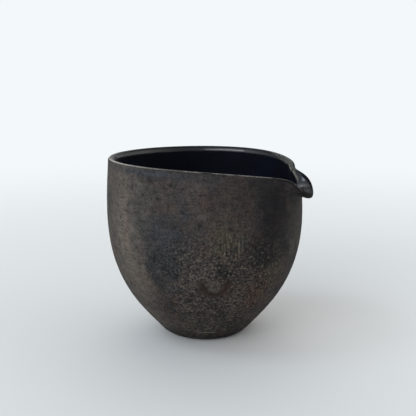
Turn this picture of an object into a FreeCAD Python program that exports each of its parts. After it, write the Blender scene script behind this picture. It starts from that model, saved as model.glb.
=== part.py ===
import FreeCAD, Part

import math
import os

# A lipped sake pourer: a round, deep stoneware bowl whose rim dips towards a short folded lip.
# Frame: Z is the bowl's axis, z = 0 is the surface it stands on, and the lip points along +X.
# Millimetres and degrees. Angles go round the axis from the lip, anticlockwise seen from above.

# Overall sizes of the clay
BELLY_RADIUS = 47.25
RIM_HEIGHT = 87.0
RIM_RADIUS = 46.3
RIM_THICKNESS = 2.5
CROWN_RADIUS = 45.3
FLOOR_THICKNESS = 5.0
FLOOR_DISC_RADIUS = 9.0
JOINT_HEIGHT = 8.0

# The coats: matte slip outside, glaze inside
SLIP_THICKNESS = 0.25
SLIP_START_HEIGHT = 1.2
SLIP_STOP_BELOW_RIM = 0.6
GLAZE_THICKNESS = 0.35
GLAZE_STOP_BELOW_RIM = 0.7

# The bowl's outside and inside as curve poles: radius over BELLY_RADIUS, height over RIM_HEIGHT
OUTSIDE_POLES = [
    (0.3110, 0.0000),
    (0.4100, 0.0000),
    (0.4720, 0.0365),
    (0.5950, 0.1110),
    (0.7935, 0.2397),
    (0.9450, 0.4170),
    (1.0050, 0.6150),
    (1.0015, 0.8000),
    (0.9880, 0.9150),
]
INSIDE_POLES = [
    (0.4520, 0.0940),
    (0.5580, 0.1570),
    (0.7360, 0.2680),
    (0.8780, 0.4300),
    (0.9420, 0.6160),
    (0.9480, 0.8000),
    (0.9360, 0.9150),
]
FLOOR_TURN_RADIUS = 15.5

# The rim's section, as distances below its crown: small round outside, longer round inside
RIM_OUTSIDE_STRAIGHT = 2.6
RIM_OUTSIDE_TURN = 0.55
RIM_OUTSIDE_SHOULDER = 0.3
RIM_INSIDE_STRAIGHT = 3.4
RIM_INSIDE_TURN = 1.4
RIM_INSIDE_SHOULDER = 0.5

# The rim's dip towards the lip, which is wider on one side, and its slight tilt
DIP_DEPTH = 7.8
DIP_WIDTH_LEFT = 39.0
DIP_WIDTH_RIGHT = 53.0
DIP_POWER = 1.78
NOTCH_DEPTH = 1.6
NOTCH_WIDTH = 16.6
TILT = 0.5
TILT_TOWARDS = -86.0
DIP_FADES_OUT_AT = 20.0

# The pinches where two fingers held the wall on each side of the lip
PINCH_AT = 22.5
PINCH_WIDTH = 7.2
PINCH_DEPTH_LEFT = 1.75
PINCH_DEPTH_RIGHT = 0.5
PINCH_FADE = 6

# The lip: the top of the wall folded outward over a finger
LIP_CENTRE = -1.8
LIP_LEAN = 104.0
LIP_HALF_WIDTH_LEFT = 14.7
LIP_HALF_WIDTH_RIGHT = 16.5
LIP_SQUARENESS = 3.8
LIP_CURVED_LENGTH = 5.8
LIP_STRAIGHT_LENGTH = 3.3
LIP_TIP_LENGTH = 0.8
LIP_TIP_WIDTH = 7.0

# The piece of wall that is worked as the lip: an oval seen from the front
LIP_PIECE_HALF_WIDTH = 15.0
LIP_PIECE_HALF_HEIGHT = 18.0
LIP_PIECE_CENTRE_HEIGHT = 80.0
LIP_PIECE_FROM_AXIS = 25.0
LIP_PIECE_REACH = 65.0

# How finely the surfaces follow the formulas
STATIONS = 96
CROWDING = 0.55
NEAR_RIM = 24.0
SPACING_NEAR_RIM = 1.6
SPACING_BELOW = 9.0
SEWING_TOLERANCE = 0.001
LEAST_CURVATURE = 1e-6
CURVE_DEGREE = 3
HALVINGS = 50

WALL_MIDDLE = RIM_RADIUS - RIM_THICKNESS / 2.0
SLIP_TOP = RIM_HEIGHT - SLIP_STOP_BELOW_RIM
GLAZE_TOP = RIM_HEIGHT - GLAZE_STOP_BELOW_RIM


def signed(angle):
    """The same angle between -180 and 180."""
    return (angle + 180.0) % 360.0 - 180.0


def lip_tip(angle):
    """How much longer the wall is at the middle of the lip, which rounds its tip."""
    return LIP_TIP_LENGTH * math.exp(-(((angle - LIP_CENTRE) / LIP_TIP_WIDTH) ** 2))


def rim_drop(angle):
    """How far the rim lies below its level height."""
    dip_width = DIP_WIDTH_LEFT if angle > 0 else DIP_WIDTH_RIGHT
    dip = DIP_DEPTH * math.exp(-(abs(angle / dip_width) ** DIP_POWER))
    notch = NOTCH_DEPTH * math.exp(-((angle / NOTCH_WIDTH) ** 2))
    tilt = TILT * math.cos(math.radians(angle - TILT_TOWARDS))
    return dip + notch - tilt - lip_tip(angle)


def pinch(angle):
    """How far the rim is pressed inward beside the lip."""
    depth = PINCH_DEPTH_LEFT if angle > 0 else PINCH_DEPTH_RIGHT
    return depth * math.exp(-(((abs(angle) - PINCH_AT) / PINCH_WIDTH) ** 2))


def lip_lean(angle):
    """How far the end of the wall leans outward, in radians."""
    from_centre = angle - LIP_CENTRE
    half_width = LIP_HALF_WIDTH_LEFT if from_centre > 0 else LIP_HALF_WIDTH_RIGHT
    return math.radians(LIP_LEAN) * math.exp(-(abs(from_centre / half_width) ** LIP_SQUARENESS))


def shaped(radius, angle, height):
    """Where a point of the level, round bowl lies on the finished one."""
    angle = signed(angle)
    fade = max(0.0, (height - DIP_FADES_OUT_AT) / (RIM_HEIGHT - DIP_FADES_OUT_AT))
    drop = rim_drop(angle)
    new_height = height - drop * fade**2
    new_radius = radius - pinch(angle) * fade**PINCH_FADE

    # The top of the wall runs along an arc and then straight on
    below_rim = RIM_HEIGHT - drop - new_height
    whole_run = LIP_CURVED_LENGTH + LIP_STRAIGHT_LENGTH + lip_tip(angle)
    run = max(0.0, whole_run - below_rim)
    curved_run = min(run, LIP_CURVED_LENGTH)
    straight_run = run - curved_run
    curvature = max(lip_lean(angle) / LIP_CURVED_LENGTH, LEAST_CURVATURE)
    lean = curvature * curved_run
    outward = (1.0 - math.cos(lean)) / curvature + straight_run * math.sin(lean)
    upward = math.sin(lean) / curvature + straight_run * math.cos(lean)
    off_middle = radius - WALL_MIDDLE
    new_radius += outward - off_middle * (1.0 - math.cos(lean))
    new_height += upward - run - off_middle * math.sin(lean)

    turn = math.radians(angle)
    return FreeCAD.Vector(new_radius * math.cos(turn), new_radius * math.sin(turn), new_height)


def station_angles():
    """The angles at which the surfaces follow the shape, from the back round, crowded at the lip."""
    angles = []
    for index in range(STATIONS):
        turn = 0.5 + index / STATIONS
        angles.append(360.0 * turn - CROWDING * math.degrees(math.sin(2.0 * math.pi * turn)))
    return angles


def profile_point(radius, height):
    """A point of a profile, which lies in the plane y = 0."""
    return FreeCAD.Vector(radius, 0.0, height)


def scaled_poles(fractions):
    """Curve poles from fractions of the overall sizes."""
    return [profile_point(BELLY_RADIUS * r, RIM_HEIGHT * z) for r, z in fractions]


def outside_poles():
    """The clay's outside, from the foot disc up to the rim's crown."""
    rim = [
        profile_point(RIM_RADIUS, RIM_HEIGHT - RIM_OUTSIDE_STRAIGHT),
        profile_point(RIM_RADIUS, RIM_HEIGHT - RIM_OUTSIDE_TURN),
        profile_point(RIM_RADIUS - RIM_OUTSIDE_SHOULDER, RIM_HEIGHT),
        profile_point(CROWN_RADIUS, RIM_HEIGHT),
    ]
    return scaled_poles(OUTSIDE_POLES) + rim


def inside_poles():
    """The clay's inside, from the floor disc up to the rim's crown."""
    inner_radius = RIM_RADIUS - RIM_THICKNESS
    floor = [
        profile_point(FLOOR_DISC_RADIUS, FLOOR_THICKNESS),
        profile_point(FLOOR_TURN_RADIUS, FLOOR_THICKNESS),
    ]
    rim = [
        profile_point(inner_radius, RIM_HEIGHT - RIM_INSIDE_STRAIGHT),
        profile_point(inner_radius, RIM_HEIGHT - RIM_INSIDE_TURN),
        profile_point(inner_radius + RIM_INSIDE_SHOULDER, RIM_HEIGHT),
        profile_point(CROWN_RADIUS, RIM_HEIGHT),
    ]
    return floor + scaled_poles(INSIDE_POLES) + rim


def beside(poles, distance):
    """The poles moved to the left of their direction of travel, for a curve beside the first."""
    moved = []
    for index, pole in enumerate(poles):
        before = poles[max(index - 1, 0)]
        after = poles[min(index + 1, len(poles) - 1)]
        along = (after - before).normalize()
        moved.append(pole + profile_point(-along.z, along.x) * distance)
    return moved


def smooth_curve(poles):
    """A smooth curve that starts on its first pole and ends on its last."""
    curve = Part.BSplineCurve()
    curve.buildFromPoles(poles, False, min(CURVE_DEGREE, len(poles) - 1))
    return curve


def parameter_at(curve, height):
    """Where a rising curve passes a height."""
    low = curve.FirstParameter
    high = curve.LastParameter
    for _ in range(HALVINGS):
        middle = (low + high) / 2.0
        if curve.value(middle).z < height:
            low = middle
        else:
            high = middle
    return low


def stretch(curve, first, last):
    """The stretch of a curve between two parameters, with enough poles to be shaped."""
    piece = curve.copy()
    piece.segment(first, last)
    knots = piece.getKnots()
    for before, after in zip(knots, knots[1:]):
        start = piece.value(before)
        end = piece.value(after)
        near_rim = end.z > RIM_HEIGHT - NEAR_RIM
        spacing = SPACING_NEAR_RIM if near_rim else SPACING_BELOW
        parts = math.ceil((end - start).Length / spacing)
        for part in range(1, parts):
            piece.insertKnot(before + (after - before) * part / parts, 1)
    return piece


def swept(curve):
    """The face that a profile curve sweeps round the axis, shaped as the finished bowl."""
    angles = station_angles()
    rows = []
    for pole in curve.getPoles():
        ring = [shaped(pole.x, angle, pole.z) for angle in angles]
        row = []
        for index, point in enumerate(ring):
            neighbours = ring[index - 1] + ring[(index + 1) % STATIONS]
            # A sixth of the second difference makes the surface pass through the station
            row.append(point - (neighbours - point * 2.0) * (1.0 / 6.0))
        rows.append(row)
    surface = Part.BSplineSurface()
    surface.buildFromPolesMultsKnots(
        [list(column) for column in zip(*rows)],
        [1] * (STATIONS + 1),
        curve.getMultiplicities(),
        [float(index) for index in range(STATIONS + 1)],
        curve.getKnots(),
        True,
        False,
        CURVE_DEGREE,
        curve.Degree,
    )
    return surface.toShape()


def swept_line(start, end):
    """The narrow face that a straight profile line sweeps round the axis."""
    return swept(smooth_curve([start, end]))


def end_disc(face, height):
    """The flat disc inside a swept face's edge at a height."""
    edge = min(face.Edges, key=lambda e: abs(e.BoundBox.ZMax - height) + e.BoundBox.ZLength)
    return Part.Face(Part.Wire(edge))


def solid_of(faces):
    """One closed solid from faces that meet edge to edge."""
    sewn = Part.Compound(faces)
    sewn.sewShape(SEWING_TOLERANCE)
    solid = Part.Solid(sewn.Shells[0])
    if solid.Volume < 0:
        solid.reverse()
    return solid


class Profile:
    """A bare profile curve and the curve of the coat on it, cut at the same places."""

    def __init__(self, poles, coat_offset):
        self.clay = smooth_curve(poles)
        self.coat = smooth_curve(beside(poles, coat_offset))

    def at(self, height):
        """The place where the clay's curve passes a height."""
        return parameter_at(self.clay, height)

    def clay_stretch(self, first, last):
        """The clay's curve between two places."""
        return stretch(self.clay, first, last)

    def coat_stretch(self, first, last):
        """The coat's curve between two places."""
        return stretch(self.coat, first, last)

    def coat_edge(self, place):
        """The narrow face across the coat's thickness at a place."""
        return swept_line(self.clay.value(place), self.coat.value(place))


def make_base(outside, inside):
    """The floor and the bottom of the wall, a shallow dish that the wall is built on."""
    foot = swept(outside.clay_stretch(outside.clay.FirstParameter, outside.at(SLIP_START_HEIGHT)))
    side = swept(outside.clay_stretch(outside.at(SLIP_START_HEIGHT), outside.at(JOINT_HEIGHT)))
    joint = swept_line(
        outside.clay.value(outside.at(JOINT_HEIGHT)), inside.clay.value(inside.at(JOINT_HEIGHT))
    )
    dish = swept(inside.clay_stretch(inside.clay.FirstParameter, inside.at(JOINT_HEIGHT)))
    discs = [end_disc(foot, 0.0), end_disc(dish, FLOOR_THICKNESS)]
    return solid_of([foot, side, joint, dish] + discs)


def make_clay_wall(outside, inside):
    """The whole wall from the base up, over the rim and down inside, with the lip in one."""
    crown_outside = outside.clay.LastParameter
    crown_inside = inside.clay.LastParameter
    return solid_of(
        [
            swept(outside.clay_stretch(outside.at(JOINT_HEIGHT), outside.at(SLIP_TOP))),
            swept(outside.clay_stretch(outside.at(SLIP_TOP), crown_outside)),
            swept(inside.clay_stretch(inside.at(GLAZE_TOP), crown_inside)),
            swept(inside.clay_stretch(inside.at(JOINT_HEIGHT), inside.at(GLAZE_TOP))),
            swept_line(
                outside.clay.value(outside.at(JOINT_HEIGHT)),
                inside.clay.value(inside.at(JOINT_HEIGHT)),
            ),
        ]
    )


def lip_piece_space():
    """The oval space, seen from the front, that holds the piece of clay worked as the lip."""
    centre = FreeCAD.Vector(LIP_PIECE_FROM_AXIS, 0, LIP_PIECE_CENTRE_HEIGHT)
    oval = Part.Ellipse(
        centre + FreeCAD.Vector(0, 0, LIP_PIECE_HALF_HEIGHT),
        centre + FreeCAD.Vector(0, LIP_PIECE_HALF_WIDTH, 0),
        centre,
    )
    face = Part.Face(Part.Wire(oval.toShape()))
    return face.extrude(FreeCAD.Vector(LIP_PIECE_REACH - LIP_PIECE_FROM_AXIS, 0, 0))


def make_outer_slip(outside):
    """The thin matte coat on the outside, from just above the foot to just below the rim."""
    start = outside.at(SLIP_START_HEIGHT)
    joint = outside.at(JOINT_HEIGHT)
    stop = outside.at(SLIP_TOP)
    return solid_of(
        [
            swept(outside.coat_stretch(start, stop)),
            outside.coat_edge(stop),
            swept(outside.clay_stretch(joint, stop)),
            swept(outside.clay_stretch(start, joint)),
            outside.coat_edge(start),
        ]
    )


def make_inner_glaze(inside):
    """The thin glossy coat inside, over the floor, the wall and the lip's channel."""
    start = inside.clay.FirstParameter
    joint = inside.at(JOINT_HEIGHT)
    stop = inside.at(GLAZE_TOP)
    dish = swept(inside.clay_stretch(start, joint))
    surface = swept(inside.coat_stretch(start, stop))
    return solid_of(
        [
            dish,
            swept(inside.clay_stretch(joint, stop)),
            inside.coat_edge(stop),
            surface,
            end_disc(dish, FLOOR_THICKNESS),
            end_disc(surface, FLOOR_THICKNESS + GLAZE_THICKNESS),
        ]
    )


def make_parts():
    """Every piece of the pourer by name."""
    outside = Profile(outside_poles(), -SLIP_THICKNESS)
    inside = Profile(inside_poles(), GLAZE_THICKNESS)
    clay_wall = make_clay_wall(outside, inside)
    return {
        "base": make_base(outside, inside),
        "body_wall": clay_wall.cut(lip_piece_space()),
        "pouring_lip": clay_wall.common(lip_piece_space()),
        "outer_slip": make_outer_slip(outside),
        "inner_glaze": make_inner_glaze(inside),
    }


os.makedirs("parts", exist_ok=True)
for name, shape in make_parts().items():
    solids = shape.Solids
    print(name, len(solids), "solid", shape.isValid(), round(shape.Volume, 1), shape.BoundBox)
    piece = solids[0] if len(solids) == 1 else shape
    piece.exportStep("parts/" + name + ".step")
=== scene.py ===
"""A lipped sake pourer, dressed: smoked matte slip outside, black glaze inside, a worn clay rim.

Lengths are in millimetres until a piece is finished, and metres from there on. Angles are in
degrees round the bowl's axis, from the middle of the lip, anticlockwise seen from above.
"""

import logging
import math
from dataclasses import dataclass
from enum import Enum
from typing import Callable, NamedTuple, Union

import bmesh
import bpy
from mathutils import Matrix, Vector, noise


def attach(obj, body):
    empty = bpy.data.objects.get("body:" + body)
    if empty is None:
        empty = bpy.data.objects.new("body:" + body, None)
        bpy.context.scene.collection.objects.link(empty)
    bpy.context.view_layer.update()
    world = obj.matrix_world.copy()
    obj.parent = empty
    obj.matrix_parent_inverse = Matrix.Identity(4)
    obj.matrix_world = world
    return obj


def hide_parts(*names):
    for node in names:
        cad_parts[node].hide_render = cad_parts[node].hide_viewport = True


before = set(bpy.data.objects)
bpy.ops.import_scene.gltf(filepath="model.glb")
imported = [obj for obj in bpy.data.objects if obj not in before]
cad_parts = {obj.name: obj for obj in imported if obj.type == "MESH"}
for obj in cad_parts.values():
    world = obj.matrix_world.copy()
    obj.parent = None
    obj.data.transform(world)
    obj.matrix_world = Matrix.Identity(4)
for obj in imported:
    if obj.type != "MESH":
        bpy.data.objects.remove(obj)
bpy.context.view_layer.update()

LOG = logging.getLogger("pourer")
MM = 0.001
TINY = 1e-5
THROWN = "thrown"
Colour = tuple[float, float, float]


class Slot(Enum):
    """The record's material slots."""

    BARE_CLAY = "bare_clay"
    MATTE_SLIP = "matte_slip"
    BLACK_GLAZE = "black_glaze"


def smooth_step(low: float, high: float, value: float) -> float:
    """A smooth rise from 0 at low to 1 at high.

    Args:
        low: Where the rise starts.
        high: Where it ends, which may lie under low for a fall.
        value: The number to look up.

    Returns:
        A share from 0 to 1.
    """
    share = min(1.0, max(0.0, (value - low) / (high - low)))
    return share * share * (3.0 - 2.0 * share)


def bell(value: float, width: float) -> float:
    """A smooth hump that is 1 at zero and falls to 0.37 at the width."""
    return math.exp(-((value / width) ** 2))


def noise_share(place: Vector) -> float:
    """Smooth noise at a place, as a share from 0 to 1."""
    return 0.5 + 0.5 * noise.noise(place)


def signed(angle: float) -> float:
    """The same angle between -180 and 180."""
    return (angle + 180.0) % 360.0 - 180.0


def linear(red: int, green: int, blue: int) -> Colour:
    """A colour written as screen numbers from 0 to 255, in linear light.

    Args:
        red: The red number.
        green: The green number.
        blue: The blue number.

    Returns:
        The three shares of light.
    """
    shares = [number / 255.0 for number in (red, green, blue)]
    return tuple(s / 12.92 if s < 0.04045 else ((s + 0.055) / 1.055) ** 2.4 for s in shares)


class SectionPoint(NamedTuple):
    """A point of a piece's section through the axis, and whether that face shows."""

    radius: float
    height: float
    shows: bool


class SmoothCurve:
    """A cubic curve with clamped ends, drawn by its poles."""

    DEGREE = 3
    HALVINGS = 40
    STEPS = 4000

    def __init__(self, poles: list[Vector]) -> None:
        """Keeps the poles.

        Args:
            poles: Points in the plane of the section: radius and height.
        """
        self.poles = poles
        self.spans = len(poles) - self.DEGREE

    def knot(self, index: int) -> int:
        """The knot with this number."""
        return min(max(index - self.DEGREE, 0), self.spans)

    def point(self, place: float) -> Vector:
        """The curve's point at a place, by de Boor's rule.

        Args:
            place: From 0 at the start to the number of spans at the end.

        Returns:
            Radius and height.
        """
        span = min(int(place), self.spans - 1)
        row = [self.poles[span + index] for index in range(self.DEGREE + 1)]
        for level in range(1, self.DEGREE + 1):
            for index in range(self.DEGREE, level - 1, -1):
                low = self.knot(span + index)
                high = self.knot(span + index + self.DEGREE + 1 - level)
                row[index] = row[index - 1].lerp(row[index], (place - low) / (high - low))
        return row[-1]

    def place_at(self, height: float) -> float:
        """Where the rising curve passes a height."""
        low, high = 0.0, float(self.spans)
        for _ in range(self.HALVINGS):
            middle = (low + high) / 2.0
            if self.point(middle).y < height:
                low = middle
            else:
                high = middle
        return low

    def points(self, first: float, last: float, spacing: Callable[[float], float]) -> list[Vector]:
        """Points along the curve from one place to another.

        Args:
            first: The place to start at.
            last: The place to end at.
            spacing: The distance between points, from the height.

        Returns:
            The points, both ends included.
        """
        found = [self.point(first)]
        step = (last - first) / self.STEPS
        for index in range(1, self.STEPS):
            here = self.point(first + step * index)
            if (here - found[-1]).length >= spacing(here.y):
                found.append(here)
        end = self.point(last)
        if (end - found[-1]).length < spacing(end.y) / 2.0:
            found.pop()
        return found + [end]


@dataclass(frozen=True)
class BowlForm:
    """The level round bowl, and how it is worked into a pourer."""

    belly_radius: float = 47.25
    rim_height: float = 87.0
    rim_radius: float = 46.3
    rim_thickness: float = 2.5
    crown_radius: float = 45.3
    floor_thickness: float = 5.0
    floor_disc_radius: float = 9.0
    floor_turn_radius: float = 15.5
    joint_height: float = 8.0
    slip_thickness: float = 0.25
    slip_start: float = 1.2
    slip_stop_below_rim: float = 0.6
    glaze_thickness: float = 0.35
    glaze_stop_below_rim: float = 0.7
    outside_shares: tuple[tuple[float, float], ...] = (
        (0.3110, 0.0000),
        (0.4100, 0.0000),
        (0.4720, 0.0365),
        (0.5950, 0.1110),
        (0.7935, 0.2397),
        (0.9450, 0.4170),
        (1.0050, 0.6150),
        (1.0015, 0.8000),
        (0.9880, 0.9150),
    )
    inside_shares: tuple[tuple[float, float], ...] = (
        (0.4520, 0.0940),
        (0.5580, 0.1570),
        (0.7360, 0.2680),
        (0.8780, 0.4300),
        (0.9420, 0.6160),
        (0.9480, 0.8000),
        (0.9360, 0.9150),
    )
    rim_outside_straight: float = 2.6
    rim_outside_turn: float = 0.55
    rim_outside_shoulder: float = 0.3
    rim_inside_straight: float = 3.4
    rim_inside_turn: float = 1.4
    rim_inside_shoulder: float = 0.5
    dip_depth: float = 7.8
    dip_width_left: float = 39.0
    dip_width_right: float = 53.0
    dip_power: float = 1.78
    notch_depth: float = 1.6
    notch_width: float = 16.6
    tilt: float = 0.5
    tilt_towards: float = -86.0
    dip_fades_out_at: float = 20.0
    pinch_at: float = 22.5
    pinch_width: float = 7.2
    pinch_depth_left: float = 1.75
    pinch_depth_right: float = 0.5
    pinch_fade: int = 6
    lip_centre: float = -1.8
    lip_lean: float = 104.0
    lip_half_width_left: float = 14.7
    lip_half_width_right: float = 16.5
    lip_squareness: float = 3.8
    lip_curved_length: float = 5.8
    lip_straight_length: float = 3.3
    lip_tip_length: float = 0.8
    lip_tip_width: float = 7.0

    @property
    def slip_top(self) -> float:
        """The height at which the slip ends on the level bowl."""
        return self.rim_height - self.slip_stop_below_rim

    @property
    def glaze_top(self) -> float:
        """The height at which the glaze ends on the level bowl."""
        return self.rim_height - self.glaze_stop_below_rim

    def scaled(self, shares: tuple[tuple[float, float], ...]) -> list[Vector]:
        """Curve poles from shares of the belly radius and the rim height."""
        return [Vector((self.belly_radius * r, self.rim_height * z)) for r, z in shares]

    def rim_poles(self, radius: float, straight: float, turn: float, shoulder: float) -> list[Vector]:
        """The poles of one side of the rim, up to its crown.

        Args:
            radius: The wall's radius below the rim on this side.
            straight: How far below the crown the straight wall ends.
            turn: How far below the crown the round starts.
            shoulder: The radius of the round's last pole.

        Returns:
            The poles, the crown last.
        """
        top = self.rim_height
        return [
            Vector((radius, top - straight)),
            Vector((radius, top - turn)),
            Vector((shoulder, top)),
            Vector((self.crown_radius, top)),
        ]

    def outside_poles(self) -> list[Vector]:
        """The clay's outside, from the foot disc to the crown."""
        return self.scaled(self.outside_shares) + self.rim_poles(
            self.rim_radius,
            self.rim_outside_straight,
            self.rim_outside_turn,
            self.rim_radius - self.rim_outside_shoulder,
        )

    def inside_poles(self) -> list[Vector]:
        """The clay's inside, from the floor disc to the crown."""
        inner = self.rim_radius - self.rim_thickness
        floor = [
            Vector((self.floor_disc_radius, self.floor_thickness)),
            Vector((self.floor_turn_radius, self.floor_thickness)),
        ]
        return (
            floor
            + self.scaled(self.inside_shares)
            + self.rim_poles(
                inner,
                self.rim_inside_straight,
                self.rim_inside_turn,
                inner + self.rim_inside_shoulder,
            )
        )

    def rim_drop(self, angle: float) -> float:
        """How far the rim lies below its level height at an angle."""
        dip_width = self.dip_width_left if angle > 0 else self.dip_width_right
        dip = self.dip_depth * math.exp(-(abs(angle / dip_width) ** self.dip_power))
        notch = self.notch_depth * bell(angle, self.notch_width)
        tilt = self.tilt * math.cos(math.radians(angle - self.tilt_towards))
        return dip + notch - tilt - self.tip_length(angle)

    def tip_length(self, angle: float) -> float:
        """How much longer the wall is at the middle of the lip."""
        return self.lip_tip_length * bell(angle - self.lip_centre, self.lip_tip_width)

    def pinch(self, angle: float) -> float:
        """How far the rim is pressed inward beside the lip."""
        depth = self.pinch_depth_left if angle > 0 else self.pinch_depth_right
        return depth * bell(abs(angle) - self.pinch_at, self.pinch_width)

    def lean(self, angle: float) -> float:
        """How far the end of the wall leans outward, in radians."""
        off_centre = angle - self.lip_centre
        half_width = self.lip_half_width_left if off_centre > 0 else self.lip_half_width_right
        folded = math.exp(-(abs(off_centre / half_width) ** self.lip_squareness))
        return math.radians(self.lip_lean) * folded

    def worked(self, radius: float, angle: float, height: float) -> Vector:
        """Where a point of the level bowl lies on the finished pourer.

        Args:
            radius: The point's distance from the axis.
            angle: Its angle from the lip.
            height: Its height.

        Returns:
            The point in millimetres.
        """
        angle = signed(angle)
        level = self.rim_height - self.dip_fades_out_at
        fade = max(0.0, (height - self.dip_fades_out_at) / level)
        drop = self.rim_drop(angle)
        new_height = height - drop * fade**2
        new_radius = radius - self.pinch(angle) * fade**self.pinch_fade

        # The top of the wall runs along an arc and then straight on
        below_rim = self.rim_height - drop - new_height
        whole_run = self.lip_curved_length + self.lip_straight_length + self.tip_length(angle)
        run = max(0.0, whole_run - below_rim)
        curved_run = min(run, self.lip_curved_length)
        straight_run = run - curved_run
        curvature = max(self.lean(angle) / self.lip_curved_length, TINY)
        lean = curvature * curved_run
        outward = (1.0 - math.cos(lean)) / curvature + straight_run * math.sin(lean)
        upward = math.sin(lean) / curvature + straight_run * math.cos(lean)
        off_middle = radius - (self.rim_radius - self.rim_thickness / 2.0)
        new_radius += outward - off_middle * (1.0 - math.cos(lean))
        new_height += upward - run - off_middle * math.sin(lean)
        turn = math.radians(angle)
        return Vector((new_radius * math.cos(turn), new_radius * math.sin(turn), new_height))


@dataclass(frozen=True)
class HandWork:
    """The unevenness of a bowl built by hand, which every layer of it shares."""

    wobble: float = 0.08
    wobble_size: float = 26.0
    wobble_from: float = 10.0
    wobble_full_at: float = 40.0
    rim_wave: float = 0.08
    rim_wave_size: float = 17.0
    rim_wave_from: float = 60.0
    noise_radius: float = 45.0

    def on_round(self, at: Vector) -> Vector:
        """The point straight outward on one round, so that every layer reads the same noise."""
        return Vector((at.x, at.y, 0.0)).normalized() * self.noise_radius

    def inward(self, at: Vector) -> float:
        """How far the wall stands inside its true round at a point of the level bowl."""
        share = smooth_step(self.wobble_from, self.wobble_full_at, at.z)
        place = self.on_round(at) + Vector((0.0, 0.0, at.z))
        return self.wobble * share * noise_share(place / self.wobble_size)

    def down(self, at: Vector, top: float) -> float:
        """How far the rim lies below its true height."""
        share = smooth_step(self.rim_wave_from, top, at.z)
        return self.rim_wave * share * noise_share(self.on_round(at) / self.rim_wave_size)


@dataclass(frozen=True)
class SlipRelief:
    """The relief in the slip: scraper lines, soft dabs, small pits, and thin edges."""

    line_depth: float = 0.035
    line_height: float = 1.9
    line_length: float = 30.0
    dab_depth: float = 0.07
    dab_size: float = 7.0
    pit_depth: float = 0.11
    pit_cell: float = 9.0
    pit_share: float = 0.16
    edge_thinning: float = 0.15
    edge_width: float = 0.5

    def depth(self, at: Vector, form: BowlForm) -> float:
        """How deep the surface lies under the coat's full thickness.

        Args:
            at: The point on the level bowl.
            form: The bowl's form.

        Returns:
            The depth in millimetres.
        """
        stretched = Vector((at.x, at.y, at.z * self.line_length / self.line_height))
        line = noise_share(stretched / self.line_length)
        dab = noise_share(at / self.dab_size)
        nearest = noise.voronoi(at / self.pit_cell)[0][0]
        pit = smooth_step(self.pit_share, 0.0, nearest)
        to_top = smooth_step(self.edge_width, 0.0, form.slip_top - at.z)
        to_foot = smooth_step(self.edge_width, 0.0, at.z - form.slip_start)
        edge = self.edge_thinning * max(to_top, to_foot)
        worn = self.line_depth * line + self.dab_depth * dab**2
        return max(edge, min(worn + self.pit_depth * pit, self.edge_thinning))


@dataclass(frozen=True)
class GlazeRelief:
    """The relief in the glaze: the soft rings of the throwing under it, and a thin top edge."""

    ring_depth: float = 0.1
    ring_height: float = 5.2
    ring_length: float = 60.0
    ripple_depth: float = 0.05
    ripple_size: float = 6.0
    edge_thinning: float = 0.28
    edge_width: float = 2.6

    def depth(self, at: Vector, form: BowlForm) -> float:
        """How deep the surface lies under the coat's full thickness.

        Args:
            at: The point on the level bowl.
            form: The bowl's form.

        Returns:
            The depth in millimetres.
        """
        stretched = Vector((at.x, at.y, at.z * self.ring_length / self.ring_height))
        ring = noise_share(stretched / self.ring_length)
        ripple = noise_share(at / self.ripple_size)
        edge = self.edge_thinning * smooth_step(self.edge_width, 0.0, form.glaze_top - at.z)
        return max(edge, self.ring_depth * ring + self.ripple_depth * ripple)


@dataclass(frozen=True)
class ClayRelief:
    """The relief in bare clay: fine tooth on the rim, and turning lines under the foot."""

    tooth_depth: float = 0.04
    tooth_size: float = 1.6
    line_depth: float = 0.06
    line_spacing: float = 1.3

    def depth(self, at: Vector, form: BowlForm) -> float:
        """How deep the surface lies under the clay's full size.

        Args:
            at: The point on the level bowl.
            form: The bowl's form; not used.

        Returns:
            The depth in millimetres.
        """
        tooth = self.tooth_depth * noise_share(at / self.tooth_size)
        underside = smooth_step(TINY, 0.0, at.z)
        radius = math.hypot(at.x, at.y)
        line = 0.5 + 0.5 * math.cos(2.0 * math.pi * radius / self.line_spacing)
        return tooth + underside * self.line_depth * line


Relief = Union[SlipRelief, GlazeRelief, ClayRelief]


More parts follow.
